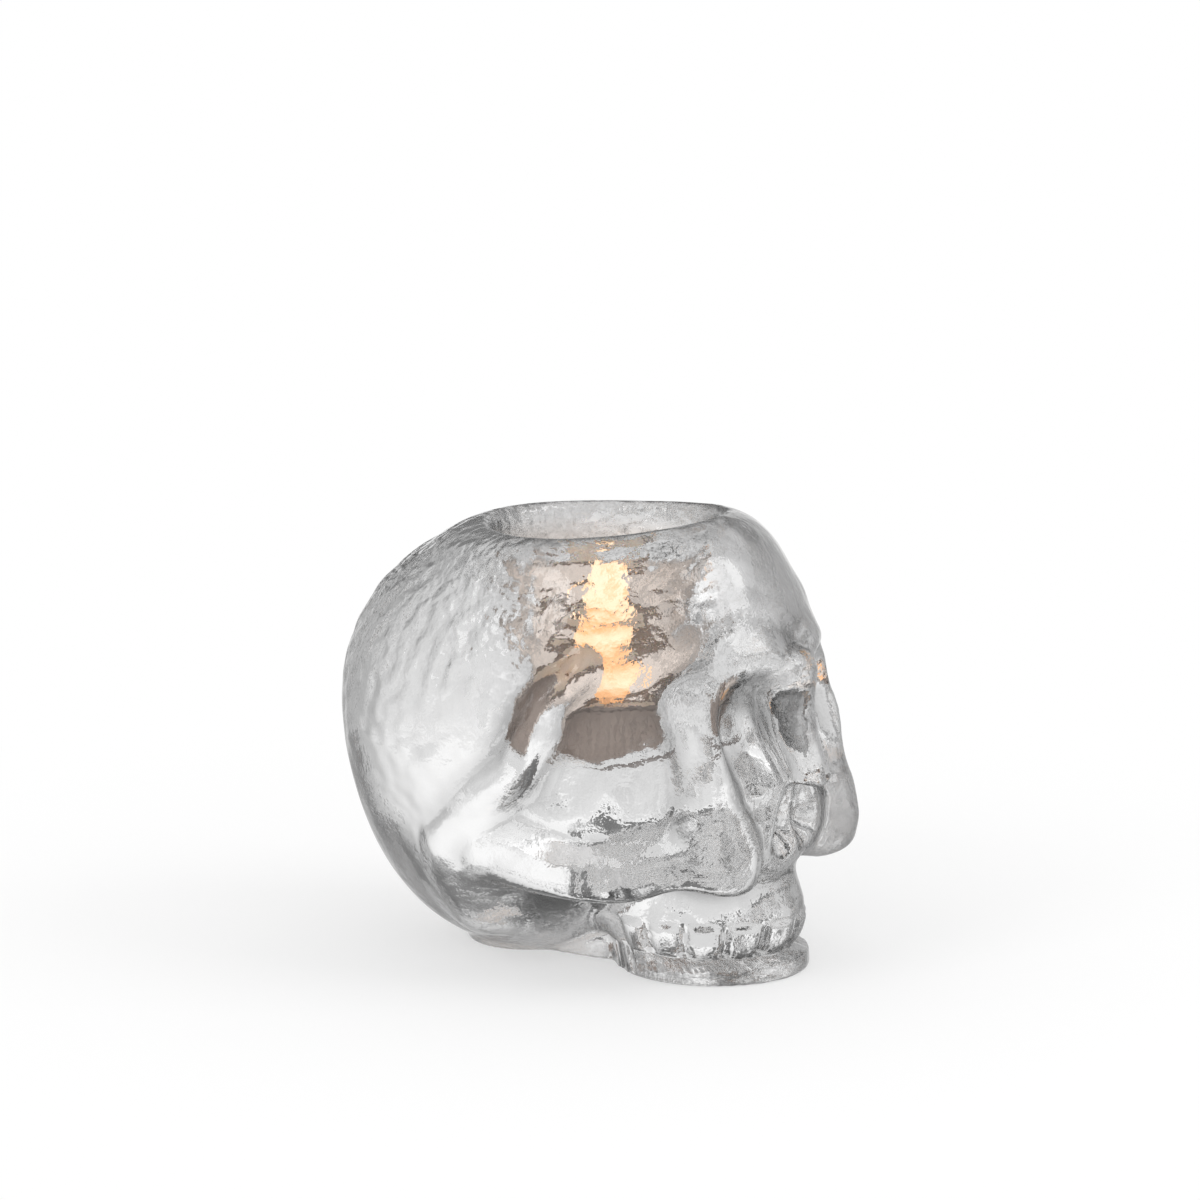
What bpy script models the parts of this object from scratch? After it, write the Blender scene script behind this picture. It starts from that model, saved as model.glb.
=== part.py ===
"""Pressed-glass skull candle holder with the tealight that it holds.

The skull is one thick solid of glass without a lower jaw. It is sculpted as a field of bone forms that melt
into each other, and the vertices of a UV sphere are drawn onto its surface. A turned plunger presses the
candle well into the crown, and the underside is ground flat. The tealight stands on the floor of the well:
an aluminium cup, its wax, the wick and the clip that holds the wick upright.

Metres, +Z up. The face looks along -Y and the skull's left side is +X. The origin lies on the ground plane
under the middle of the skull.
"""
import math

import bmesh
import bpy
import numpy as np

RIM_HEIGHT = 0.0946           # lip above the ground, over the middle of the well

# Bone forms: the middle, the three half sizes and the width over which the form melts into the rest.
# The braincase, the crown and the lip hang from RIM_HEIGHT: the height of their middle is counted from it.
BRAINCASE = ((0.0, 0.0110, -0.0386), (0.0435, 0.0465, 0.0372))
OCCIPUT = ((0.0, 0.0165, 0.0340), (0.0355, 0.0365, 0.0355), 0.0160)
CROWN = ((0.0, -0.0040, -0.0246), (0.0395, 0.0395, 0.0262), 0.0080)
TEMPLE = ((0.0, -0.0170, 0.0420), (0.0370, 0.0280, 0.0250), 0.0100)
CHEEKBONE = ((0.0210, -0.0388, 0.0288), (0.0095, 0.0085, 0.0095), 0.0070)
MAXILLA = ((0.0, -0.0300, 0.0320), (0.0200, 0.0165, 0.0150), 0.0060)
TOOTH_RIDGE = ((0.0, -0.0240, 0.0120), (0.0195, 0.0210, 0.0150), 0.0060)
RIM_LIP = ((0.0, -0.0015, -0.0106), (0.0325, 0.0338, 0.0150), 0.0060)

# Hollows: the middle, the half sizes and the width of the softened edge
EYE_SOCKET = ((0.0136, -0.0465, 0.0555), (0.0106, 0.0095, 0.0105), 0.0055)
NOSTRIL = ((0.0040, -0.0485, 0.0325), (0.0048, 0.0064, 0.0082), 0.0032)
CHEEK_HOLLOW = ((0.0270, -0.0360, 0.0140), (0.0085, 0.0150, 0.0070), 0.0050)
TEMPLE_HOLLOW = ((0.0430, -0.0300, 0.0500), (0.0090, 0.0140, 0.0160), 0.0080)
BONE_DIMPLE = ((0.0150, -0.0478, 0.0385), (0.0022, 0.0026, 0.0026), 0.0025)

# Turns of the forms about the vertical and about the fore-and-aft line, in degrees
CHEEKBONE_YAW = -30.0
SOCKET_YAW = -14.0
SOCKET_ROLL = 12.0
NOSTRIL_ROLL = -20.0
CHEEK_HOLLOW_YAW = -25.0

# Ridges: points along the ridge, its radius at each point and the width over which it melts in
CHEEK_ARCH = (
    ((0.0270, -0.0350, 0.0300), (0.0325, -0.0240, 0.0260), (0.0350, -0.0080, 0.0260), (0.0355, 0.0060, 0.0280)),
    (0.0055, 0.0060, 0.0060, 0.0060), 0.0080)
SOCKET_RIM = (
    ((0.0240, -0.0383, 0.0370), (0.0242, -0.0372, 0.0500), (0.0220, -0.0342, 0.0595)),
    (0.0050, 0.0044, 0.0042), 0.0060)
BROW = (
    ((0.0, -0.0412, 0.0630), (0.0090, -0.0392, 0.0655), (0.0160, -0.0350, 0.0655), (0.0215, -0.0322, 0.0610)),
    (0.0054, 0.0048, 0.0045, 0.0042), 0.0070)
NASAL_BONE = (
    ((0.0, -0.0435, 0.0630), (0.0, -0.0452, 0.0530), (0.0, -0.0480, 0.0430)),
    (0.0048, 0.0040, 0.0040), 0.0040)
MASTOID = (
    ((0.0310, 0.0160, 0.0260), (0.0260, 0.0140, 0.0140)),
    (0.0070, 0.0060), 0.0080)
TEMPORAL_LINE = (
    ((0.0376, -0.0160, 0.0680), (0.0400, -0.0090, 0.0610), (0.0406, -0.0050, 0.0520),
     (0.0404, -0.0010, 0.0455), (0.0392, 0.0065, 0.0395), (0.0370, 0.0165, 0.0290)),
    (0.0014, 0.0022, 0.0026, 0.0026, 0.0026, 0.0022), 0.0050)

# Teeth, standing round the front of the tooth ridge
TEETH_FOOT = 0.0050
TEETH_TOP = 0.0118
TEETH_SIDES = 14.4            # crowns that a full turn of the arch would carry
TEETH_RELIEF = 0.0013
TEETH_LINE_DEPTH = 0.0007
TEETH_BACK = -0.0080          # the row ends here
TEETH_ARCH_CENTRE = -0.0240

# Ground contact: upright pads of oval outline, each with its middle, half sizes and height
FRONT_PLINTH = ((0.0, -0.0255), (0.0200, 0.0205), 0.0045)
NECK_BRIDGE = ((0.0, 0.0), (0.0105, 0.0220), 0.0050)
BACK_FOOT = ((0.0, 0.0185), (0.0140, 0.0130), 0.0048)
PAD_BLEND = 0.0022

# Candle well and rim
RIM_SLOPE = 0.080             # the lip rises towards the forehead
RIM_SAG = 0.0015              # and dips at the temples
RIM_SOFTNESS = 0.0050
LIP_FLARE = 0.0032            # radius of the rolled inner edge
WELL_CENTRE_Y = 0.0
WELL_FLOOR_HEIGHT = 0.0430
WELL_FLOOR_CLEARANCE = 0.0020 # round the tealight, at the floor
WELL_DRAFT = 0.0030           # more radius at the lip than at the floor
WELL_FLOOR_FILLET = 0.0030

# Tealight
TEALIGHT_DIAMETER = 0.0380
TEALIGHT_HEIGHT = 0.0145
TEALIGHT_SHIFT_Y = -0.0015    # it stands a little towards the face
CUP_WALL = 0.0005
CUP_BEAD = 0.0006             # radius of the rolled edge
WAX_HEIGHT = 0.0104
WAX_DISH = 0.0012
CLIP_DIAMETER = 0.0120
CLIP_THICKNESS = 0.0005
CLIP_COLLAR_DIAMETER = 0.0034
CLIP_COLLAR_HEIGHT = 0.0060
WICK_DIAMETER = 0.0016
WICK_HEIGHT = 0.0168          # above the bottom of the wax
WICK_LEAN = 0.0016
FIT_GAP = 0.0003

# Fineness of the surfaces
SEGMENTS = 112
RINGS = 56
WELL_STEPS = 56
CUP_STEPS = 40
SCULPT_AXIS_Y = 0.0020        # the vertices are drawn out from this upright line
SCULPT_AXIS_LOW = 0.0150
SCULPT_AXIS_BELOW_RIM = 0.0226
SCULPT_CORE_RADIUS = 0.0040    # no surface is looked for nearer to that line
RISE_POWER = 1.5              # rays stay near level over the face and turn to upright at the poles
MARCH_STEPS = 80
HALVINGS = 18
MIDLINE_SOFTNESS = 0.0008
CLEAR = 0.0100                # how far the cutters run past the glass

tealight_radius = TEALIGHT_DIAMETER / 2
sculpt_axis_high = RIM_HEIGHT - SCULPT_AXIS_BELOW_RIM
sculpt_reach = BRAINCASE[0][1] + BRAINCASE[1][1] + sculpt_axis_high - SCULPT_AXIS_LOW
well_floor_radius = tealight_radius + WELL_FLOOR_CLEARANCE
well_lip_radius = well_floor_radius + WELL_DRAFT
tealight_y = WELL_CENTRE_Y + TEALIGHT_SHIFT_Y
tealight_base = WELL_FLOOR_HEIGHT + FIT_GAP


def clear_scene():
    """Remove what the file already holds."""
    for old in list(bpy.data.objects):
        bpy.data.objects.remove(old, do_unlink=True)


def make_collection(name):
    group = bpy.data.collections.new(name)
    bpy.context.scene.collection.children.link(group)
    return group


def make_material(name, colour, roughness, metallic=0.0, transmission=0.0):
    material = bpy.data.materials.new(name)
    material.use_nodes = True
    shader = material.node_tree.nodes["Principled BSDF"]
    shader.inputs["Base Color"].default_value = (*colour, 1.0)
    shader.inputs["Roughness"].default_value = roughness
    shader.inputs["Metallic"].default_value = metallic
    shader.inputs["Transmission Weight"].default_value = transmission
    return material


def add_object(name, mesh, group, material=None):
    item = bpy.data.objects.new(name, mesh)
    group.objects.link(item)
    if material:
        mesh.materials.append(material)
    return item


def turned(points, axis_a, axis_b, degrees):
    """The points turned by -degrees in the plane of two axes."""
    angle = math.radians(-degrees)
    out = points.copy()
    out[..., axis_a] = points[..., axis_a] * math.cos(angle) - points[..., axis_b] * math.sin(angle)
    out[..., axis_b] = points[..., axis_a] * math.sin(angle) + points[..., axis_b] * math.cos(angle)
    return out


def from_lip(form):
    """The form with the height of its middle counted from the lip."""
    x, y, z = form[0]
    return ((x, y, RIM_HEIGHT + z), *form[1:])


def ovoid(points, form, yaw=0.0, roll=0.0):
    """Distance to an ellipsoid: k0 (k0 - 1) / k1, with k0 the scaled radius and k1 its slope."""
    centre, radii = form[:2]
    local = turned(points - np.array(centre), 0, 1, yaw)
    local = turned(local, 2, 0, roll)
    radii = np.array(radii)
    scaled = np.sqrt(((local / radii) ** 2).sum(-1))
    slope = np.sqrt(((local / radii ** 2) ** 2).sum(-1)) + 1e-9
    return scaled * (scaled - 1.0) / slope


def melt(first, second, blend):
    """The nearer of two surfaces, with a fillet of the given width where they meet."""
    share = np.clip(0.5 + 0.5 * (second - first) / blend, 0.0, 1.0)
    return second * (1.0 - share) + first * share - blend * share * (1.0 - share)


def carve(body, tool, blend):
    """The body less the tool, with a softened edge."""
    return -melt(-body, tool, blend)


def smooth_path(points, radii, pieces=4):
    """Points and radii along a Catmull-Rom curve through the given ones."""
    rows = np.column_stack([np.array(points), np.array(radii)])
    padded = np.vstack([2 * rows[0] - rows[1], rows, 2 * rows[-1] - rows[-2]])
    out = []
    for before, start, end, after in zip(padded, padded[1:], padded[2:], padded[3:]):
        for t in np.arange(pieces) / pieces:
            out.append(0.5 * (2 * start + (end - before) * t
                              + (2 * before - 5 * start + 4 * end - after) * t ** 2
                              + (3 * start - before - 3 * end + after) * t ** 3))
    out.append(rows[-1])
    return np.array(out)


def ridge(points, form):
    """Distance to a round strand along a smooth path whose radius changes along it."""
    path, radii, _ = form
    best = None
    rows = smooth_path(path, radii)
    for start, end in zip(rows[:-1], rows[1:]):
        along = end[:3] - start[:3]
        share = np.clip(((points - start[:3]) @ along) / (along @ along), 0.0, 1.0)
        gap = points - start[:3] - share[..., None] * along
        distance = np.sqrt((gap ** 2).sum(-1)) - (start[3] + (end[3] - start[3]) * share)
        best = distance if best is None else np.minimum(best, distance)
    return best


def pad(points, form, blend):
    """Distance to an upright pad of oval outline with a softened top, open below."""
    centre, radii, height = form
    radii = np.array(radii)
    local = points[..., :2] - np.array(centre)
    scaled = np.sqrt(((local / radii) ** 2).sum(-1))
    slope = np.sqrt(((local / radii ** 2) ** 2).sum(-1)) + 1e-9
    return -melt(-scaled * (scaled - 1.0) / slope, height - points[..., 2], blend)


def window(values, low, high, soft):
    """1 between low and high, easing to 0 over the soft width at each end."""
    rise = np.clip((values - low) / soft + 0.5, 0.0, 1.0)
    fall = np.clip((high - values) / soft + 0.5, 0.0, 1.0)
    return rise * rise * (3 - 2 * rise) * fall * fall * (3 - 2 * fall)


def rim_height(x, y):
    """Height of the lip: it rises towards the forehead and dips at the temples."""
    return RIM_HEIGHT - RIM_SLOPE * (y - WELL_CENTRE_Y) - RIM_SAG * (x / well_lip_radius) ** 2


def teeth_relief(points):
    """Outward swell of the crowns round the tooth arch, less the grooves above and between them."""
    x, y, z = points[..., 0], points[..., 1], points[..., 2]
    turn = np.arctan2(x, TEETH_ARCH_CENTRE - y)
    crowns = np.sqrt(np.abs(np.sin(turn * TEETH_SIDES / 2))) - 0.5
    row = window(-y, -TEETH_BACK, sculpt_reach, TEETH_TOP / 2)
    height = TEETH_TOP - TEETH_FOOT
    swell = TEETH_RELIEF * crowns * window(z, TEETH_FOOT, TEETH_TOP, height / 3)
    groove = TEETH_LINE_DEPTH * window(z, TEETH_FOOT - height / 6, TEETH_FOOT, height / 6)
    return (swell - groove) * row


def skull_field(points):
    """Distance-like field of the glass skull: negative inside, zero on the surface."""
    p = points.copy()
    p[..., 0] = np.sqrt(p[..., 0] ** 2 + MIDLINE_SOFTNESS ** 2)
    body = ovoid(p, from_lip(BRAINCASE))
    for form in (OCCIPUT, from_lip(CROWN), TEMPLE):
        body = melt(body, ovoid(p, form), form[2])
    body = melt(body, ridge(p, CHEEK_ARCH), CHEEK_ARCH[2])
    body = melt(body, ovoid(p, CHEEKBONE, yaw=CHEEKBONE_YAW), CHEEKBONE[2])
    body = melt(body, ridge(p, SOCKET_RIM), SOCKET_RIM[2])
    body = melt(body, ridge(p, BROW), BROW[2])
    body = melt(body, ovoid(p, MAXILLA), MAXILLA[2])
    body = carve(body, ovoid(p, EYE_SOCKET, yaw=SOCKET_YAW, roll=SOCKET_ROLL), EYE_SOCKET[2])
    body = melt(body, ridge(p, NASAL_BONE), NASAL_BONE[2])
    body = melt(body, ovoid(p, TOOTH_RIDGE), TOOTH_RIDGE[2])
    body = carve(body, ovoid(p, NOSTRIL, roll=NOSTRIL_ROLL), NOSTRIL[2])
    body = carve(body, ovoid(p, CHEEK_HOLLOW, yaw=CHEEK_HOLLOW_YAW), CHEEK_HOLLOW[2])
    body = carve(body, ovoid(p, TEMPLE_HOLLOW), TEMPLE_HOLLOW[2])
    body = carve(body, ovoid(p, BONE_DIMPLE), BONE_DIMPLE[2])
    body = melt(body, ridge(p, MASTOID), MASTOID[2])
    body = melt(body, ridge(p, TEMPORAL_LINE), TEMPORAL_LINE[2])
    body = body - teeth_relief(p)
    for form in (FRONT_PLINTH, NECK_BRIDGE, BACK_FOOT):
        body = melt(body, pad(p, form, PAD_BLEND), PAD_BLEND)
    body = melt(body, ovoid(p, from_lip(RIM_LIP)), RIM_LIP[2])
    above_rim = p[..., 2] - rim_height(p[..., 0], p[..., 1])
    return -melt(-body, -above_rim, RIM_SOFTNESS)


def surface_points(origins, directions):
    """Where rays leave the glass for good, found by marching inwards and then halving."""
    steps = np.linspace(sculpt_reach, SCULPT_CORE_RADIUS, MARCH_STEPS)
    inner = np.full(len(directions), SCULPT_CORE_RADIUS)
    outer = np.full(len(directions), sculpt_reach)
    found = np.zeros(len(directions), bool)
    for before, step in zip(steps[:-1], steps[1:]):
        hit = ~found & (skull_field(origins + directions * step) <= 0)
        inner[hit] = step
        outer[hit] = before
        found |= hit
    for _ in range(HALVINGS):
        middle = (inner + outer) / 2
        inside = skull_field(origins + directions * middle[:, None]) <= 0
        inner = np.where(inside, middle, inner)
        outer = np.where(inside, outer, middle)
    return origins + directions * ((inner + outer) / 2)[:, None]


def crowded(angle, full, peaks):
    """An even angle from -full to full moved so that lines crowd at each peak (place, width, strength)."""
    samples = np.linspace(-full, full, 721)
    density = np.ones_like(samples)
    for place, width, strength in peaks:
        density += strength * np.exp(-((samples - place) / width) ** 2)
    total = np.concatenate([[0.0], np.cumsum((density[1:] + density[:-1]) / 2)])
    return np.interp(angle, (total / total[-1] * 2 - 1) * full, samples)


def build_skull_blank(material, group):
    """A UV sphere whose vertices are drawn onto the sculpted surface."""
    bm = bmesh.new()
    bmesh.ops.create_uvsphere(bm, u_segments=SEGMENTS, v_segments=RINGS, radius=1.0)
    mesh = bpy.data.meshes.new("glass_skull")
    bm.to_mesh(mesh)
    bm.free()
    unit = np.empty(len(mesh.vertices) * 3, np.float32)
    mesh.vertices.foreach_get("co", unit)
    unit = unit.reshape(-1, 3).astype(float)
    round_angle = crowded(np.arctan2(unit[:, 0], -unit[:, 1]), math.pi, [(0.0, 0.75, 1.6)])
    rise = np.arcsin(np.clip(unit[:, 2], -1.0, 1.0))
    rise = crowded(rise, math.pi / 2, [(-0.75, 0.20, 1.0), (0.0, 0.50, 0.4)])
    middle = (sculpt_axis_high + SCULPT_AXIS_LOW) / 2
    half = (sculpt_axis_high - SCULPT_AXIS_LOW) / 2
    origins = np.zeros_like(unit)
    origins[:, 1] = SCULPT_AXIS_Y
    origins[:, 2] = middle + half * np.sin(rise)
    tilt = rise * np.abs(rise / (math.pi / 2)) ** RISE_POWER
    directions = np.column_stack([np.sin(round_angle) * np.cos(tilt),
                                  -np.cos(round_angle) * np.cos(tilt), np.sin(tilt)])
    mesh.vertices.foreach_set("co", surface_points(origins, directions).astype(np.float32).ravel())
    mesh.update()
    mesh.shade_smooth()
    return add_object("glass_skull", mesh, group, material)


def revolve(name, profile, steps, group, material=None):
    """A closed solid turned about Z from a profile of (radius, height) that runs down its outer side."""
    mesh = bpy.data.meshes.new(name)
    corners = [(radius, 0.0, height) for radius, height in profile]
    mesh.from_pydata(corners, [(i, i + 1) for i in range(len(corners) - 1)], [])
    item = add_object(name, mesh, group, material)
    screw = item.modifiers.new("turn", "SCREW")
    screw.steps = steps
    screw.render_steps = steps
    screw.use_merge_vertices = True
    screw.merge_threshold = 0.00001
    return item


def applied_mesh(item):
    """The evaluated mesh of an object, as a mesh of its own, with the object's place in it."""
    depsgraph = bpy.context.evaluated_depsgraph_get()
    mesh = bpy.data.meshes.new_from_object(item.evaluated_get(depsgraph))
    mesh.transform(item.matrix_world)
    return mesh


def arc(centre, radius, start, end, count):
    """Points of an arc of (radius, height), angles in degrees from the outward line, upwards positive."""
    angles = np.radians(np.linspace(start, end, count))
    return [(centre[0] + radius * math.cos(a), centre[1] + radius * math.sin(a)) for a in angles]


def build_plunger(group):
    """The cutter for the well: tapered, with a filleted floor and a flare that rolls over at the lip."""
    flare_start = RIM_HEIGHT - LIP_FLARE
    flare_centre = (well_lip_radius + LIP_FLARE, flare_start)
    profile = [(0.0, RIM_HEIGHT + CLEAR), (flare_centre[0] + CLEAR, RIM_HEIGHT + CLEAR)]
    profile += arc(flare_centre, LIP_FLARE, 75, 180, 6)
    fillet_centre = (well_floor_radius - WELL_FLOOR_FILLET, WELL_FLOOR_HEIGHT + WELL_FLOOR_FILLET)
    profile += arc(fillet_centre, WELL_FLOOR_FILLET, 0, -90, 5)
    profile += [(0.0, WELL_FLOOR_HEIGHT)]
    turned_tool = revolve("plunger_profile", profile, WELL_STEPS, group)
    mesh = applied_mesh(turned_tool)
    bpy.data.objects.remove(turned_tool, do_unlink=True)
    lean = np.empty(len(mesh.vertices) * 3, np.float32)
    mesh.vertices.foreach_get("co", lean)
    lean = lean.reshape(-1, 3)
    share = np.clip((lean[:, 2] - WELL_FLOOR_HEIGHT) / (flare_start - WELL_FLOOR_HEIGHT), 0.0, 1.0) ** 3
    lean[:, 1] += WELL_CENTRE_Y
    lean[:, 2] += share * (rim_height(lean[:, 0], lean[:, 1]) - RIM_HEIGHT)
    mesh.vertices.foreach_set("co", lean.ravel())
    mesh.update()
    return add_object("plunger", mesh, group)


def build_grinding_block(group):
    """A block under the ground plane that takes the rough underside off flat."""
    size = 2 * (sculpt_reach + CLEAR)
    bpy.ops.mesh.primitive_cube_add(size=size, location=(0.0, 0.0, -size / 2))
    block = bpy.context.active_object
    block.name = "grinding_block"
    for owner in list(block.users_collection):
        owner.objects.unlink(block)
    group.objects.link(block)
    return block


def cut_with(body, cutter):
    """Take the cutter out of the body, and keep the cutter out of sight."""
    cut = body.modifiers.new(cutter.name, "BOOLEAN")
    cut.operation = "DIFFERENCE"
    cut.solver = "EXACT"
    cut.object = cutter
    cutter.hide_render = True
    cutter.display_type = "WIRE"


def build_cup(material, group):
    """Thin aluminium cup: a rolled bead at the top, a slight draft and a rounded foot."""
    outer = tealight_radius - CUP_BEAD
    bead = (outer, TEALIGHT_HEIGHT - CUP_BEAD)
    foot = 3 * CUP_WALL
    inner = outer - CUP_WALL
    profile = arc(bead, CUP_BEAD, 100, -70, 8)
    profile += arc((outer - foot, foot), foot, 0, -90, 4)
    profile += [(0.0, 0.0), (0.0, CUP_WALL)]
    profile += arc((inner - foot, CUP_WALL + foot), foot, -90, 0, 4)
    profile += [(inner, TEALIGHT_HEIGHT - 2 * CUP_BEAD)]
    profile += [profile[0]]
    cup = revolve("tealight_cup", profile, CUP_STEPS, group, material)
    cup.location = (0.0, tealight_y, tealight_base)
    cup.data.shade_smooth()
    return cup


def build_wax(material, group):
    """Wax that fills the cup, dished where it has melted, with a pocket for the clip and the wick."""
    radius = tealight_radius - CUP_BEAD - CUP_WALL - FIT_GAP
    pocket = CLIP_DIAMETER / 2 + FIT_GAP
    ceiling = CLIP_THICKNESS + 2 * FIT_GAP
    bore = CLIP_COLLAR_DIAMETER / 2 + FIT_GAP
    chamfer = 3 * CUP_WALL
    spread = np.linspace(bore, radius - WAX_DISH, 7)
    dish = [(r, WAX_HEIGHT - WAX_DISH * (1 - (r / radius) ** 4)) for r in spread]
    profile = dish + [(radius, WAX_HEIGHT), (radius, chamfer), (radius - chamfer, 0.0)]
    profile += [(pocket, 0.0), (pocket, ceiling), (bore, ceiling), dish[0]]
    wax = revolve("tealight_wax", profile, CUP_STEPS, group, material)
    wax.location = (0.0, tealight_y, tealight_base + CUP_WALL + FIT_GAP)
    wax.data.shade_smooth()
    return wax


def build_clip(material, group):
    """Pressed steel clip: a disc with a collar that grips the wick."""
    hole = WICK_DIAMETER / 2 + FIT_GAP
    collar = CLIP_COLLAR_DIAMETER / 2
    edge = CLIP_DIAMETER / 2
    profile = [(hole, CLIP_COLLAR_HEIGHT), (collar, CLIP_COLLAR_HEIGHT), (collar, CLIP_THICKNESS),
               (edge, CLIP_THICKNESS), (edge, 0.0), (0.0, 0.0), (0.0, CLIP_THICKNESS),
               (hole, CLIP_THICKNESS), (hole, CLIP_COLLAR_HEIGHT)]
    clip = revolve("wick_clip", profile, 24, group, material)
    clip.location = (0.0, tealight_y, tealight_base + CUP_WALL + FIT_GAP)
    return clip


def build_wick(material, group):
    """Braided wick: straight in its collar, then leaning over where it has burnt."""
    base = CLIP_THICKNESS + FIT_GAP
    line = bpy.data.curves.new("wick", "CURVE")
    line.dimensions = "3D"
    line.bevel_depth = WICK_DIAMETER / 2
    line.bevel_resolution = 2
    line.use_fill_caps = True
    spline = line.splines.new("POLY")
    heights = np.linspace(0.0, 1.0, 8)
    spline.points.add(len(heights) - 1)
    start = (CLIP_COLLAR_HEIGHT + FIT_GAP) / WICK_HEIGHT
    for point, share in zip(spline.points, heights):
        bend = max(share - start, 0.0) / (1 - start)
        point.co = (WICK_LEAN * bend ** 2, 0.0, base + (WICK_HEIGHT - base) * share, 1.0)
    wick = bpy.data.objects.new("wick", line)
    line.materials.append(material)
    group.objects.link(wick)
    wick.location = (0.0, tealight_y, tealight_base + CUP_WALL + FIT_GAP)
    return wick


def main():
    clear_scene()
    parts = make_collection("skull_candle_holder")
    cutters = make_collection("cutters")
    glass = make_material("clear_glass", (0.93, 0.95, 0.95), 0.04, transmission=1.0)
    aluminium = make_material("aluminium", (0.78, 0.78, 0.77), 0.32, metallic=1.0)
    wax_white = make_material("wax", (0.90, 0.87, 0.80), 0.45)
    steel = make_material("tinned_steel", (0.62, 0.62, 0.60), 0.35, metallic=1.0)
    cotton = make_material("charred_cotton", (0.10, 0.08, 0.07), 0.95)
    skull = build_skull_blank(glass, parts)
    cut_with(skull, build_grinding_block(cutters))
    cut_with(skull, build_plunger(cutters))
    build_cup(aluminium, parts)
    build_wax(wax_white, parts)
    build_clip(steel, parts)
    build_wick(cotton, parts)


main()
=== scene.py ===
# %% [markdown]
# # Glass skull candle holder
#
# A thick pressed-glass skull without a lower jaw, with a tealight burning in the well in its crown. The CAD
# model is the fixed frame: it says where everything stands. What shows here is finer: the glass is one closed
# surface worked out with numpy, the tealight gets its crimped cup, its melted wax and its flame, and every
# finish is a procedural material.

# %% Load the frame
import math

import bpy
import numpy as np
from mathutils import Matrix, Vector


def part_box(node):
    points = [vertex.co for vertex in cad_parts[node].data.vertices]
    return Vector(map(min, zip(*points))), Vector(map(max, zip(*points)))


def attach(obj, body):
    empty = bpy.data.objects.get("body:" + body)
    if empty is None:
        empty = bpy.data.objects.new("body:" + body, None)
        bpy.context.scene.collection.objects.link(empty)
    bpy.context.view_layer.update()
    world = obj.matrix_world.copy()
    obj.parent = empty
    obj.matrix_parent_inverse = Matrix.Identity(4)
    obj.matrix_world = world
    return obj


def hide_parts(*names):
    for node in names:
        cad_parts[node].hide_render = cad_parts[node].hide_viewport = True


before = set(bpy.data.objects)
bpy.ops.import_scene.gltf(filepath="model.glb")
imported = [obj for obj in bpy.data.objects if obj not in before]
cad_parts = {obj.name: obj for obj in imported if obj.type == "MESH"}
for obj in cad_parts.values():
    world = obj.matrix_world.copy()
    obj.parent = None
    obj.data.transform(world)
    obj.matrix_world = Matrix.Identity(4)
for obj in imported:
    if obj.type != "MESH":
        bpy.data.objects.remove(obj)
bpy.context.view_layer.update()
print("frame:", sorted(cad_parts))

# %% [markdown]
# ## The bone forms
#
# A skull could be sculpted by hand, or built from many loose pieces. Here it is a field: each bone is an
# ellipsoid or a round strand, and neighbours melt into each other, as soft glass does when it is pressed. The
# numbers are in metres: middle, half sizes, width of the melt. A strand has the points of its line, the
# radius at each, and the width of its melt. They are the CAD model's numbers, apart from the temporal line,
# which runs out thinner at its upper end. They give the side with positive x, which is mirrored.

# %% Bone forms
BRAINCASE = ((0.0, 0.0110, 0.0560), (0.0435, 0.0465, 0.0372))
OCCIPUT = ((0.0, 0.0165, 0.0340), (0.0355, 0.0365, 0.0355), 0.0160)
CROWN = ((0.0, -0.0040, 0.0700), (0.0395, 0.0395, 0.0262), 0.0080)
TEMPLE = ((0.0, -0.0170, 0.0420), (0.0370, 0.0280, 0.0250), 0.0100)
CHEEKBONE = ((0.0210, -0.0388, 0.0288), (0.0095, 0.0085, 0.0095), 0.0070)
MAXILLA = ((0.0, -0.0300, 0.0320), (0.0200, 0.0165, 0.0150), 0.0060)
TOOTH_RIDGE = ((0.0, -0.0240, 0.0120), (0.0195, 0.0210, 0.0150), 0.0060)
RIM_LIP = ((0.0, -0.0015, 0.0840), (0.0325, 0.0338, 0.0150), 0.0060)
EYE_SOCKET = ((0.0136, -0.0465, 0.0555), (0.0106, 0.0095, 0.0105), 0.0055)
NOSTRIL = ((0.0040, -0.0485, 0.0325), (0.0048, 0.0064, 0.0082), 0.0032)
CHEEK_HOLLOW = ((0.0270, -0.0360, 0.0140), (0.0085, 0.0150, 0.0070), 0.0050)
TEMPLE_HOLLOW = ((0.0430, -0.0300, 0.0500), (0.0090, 0.0140, 0.0160), 0.0080)
BONE_DIMPLE = ((0.0150, -0.0478, 0.0385), (0.0022, 0.0026, 0.0026), 0.0025)
CHEEKBONE_YAW = -30.0
SOCKET_YAW = -14.0
SOCKET_ROLL = 12.0
NOSTRIL_ROLL = -20.0
CHEEK_HOLLOW_YAW = -25.0
CHEEK_ARCH = (
    ((0.0270, -0.0350, 0.0300), (0.0325, -0.0240, 0.0260), (0.0350, -0.0080, 0.0260),
     (0.0355, 0.0060, 0.0280)),
    (0.0055, 0.0060, 0.0060, 0.0060), 0.0080)
SOCKET_RIM = (
    ((0.0240, -0.0383, 0.0370), (0.0242, -0.0372, 0.0500), (0.0220, -0.0342, 0.0595)),
    (0.0050, 0.0044, 0.0042), 0.0060)
BROW = (
    ((0.0, -0.0412, 0.0630), (0.0090, -0.0392, 0.0655), (0.0160, -0.0350, 0.0655),
     (0.0215, -0.0322, 0.0610)),
    (0.0054, 0.0048, 0.0045, 0.0042), 0.0070)
NASAL_BONE = (
    ((0.0, -0.0435, 0.0630), (0.0, -0.0452, 0.0530), (0.0, -0.0480, 0.0430)),
    (0.0048, 0.0040, 0.0040), 0.0040)
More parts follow.
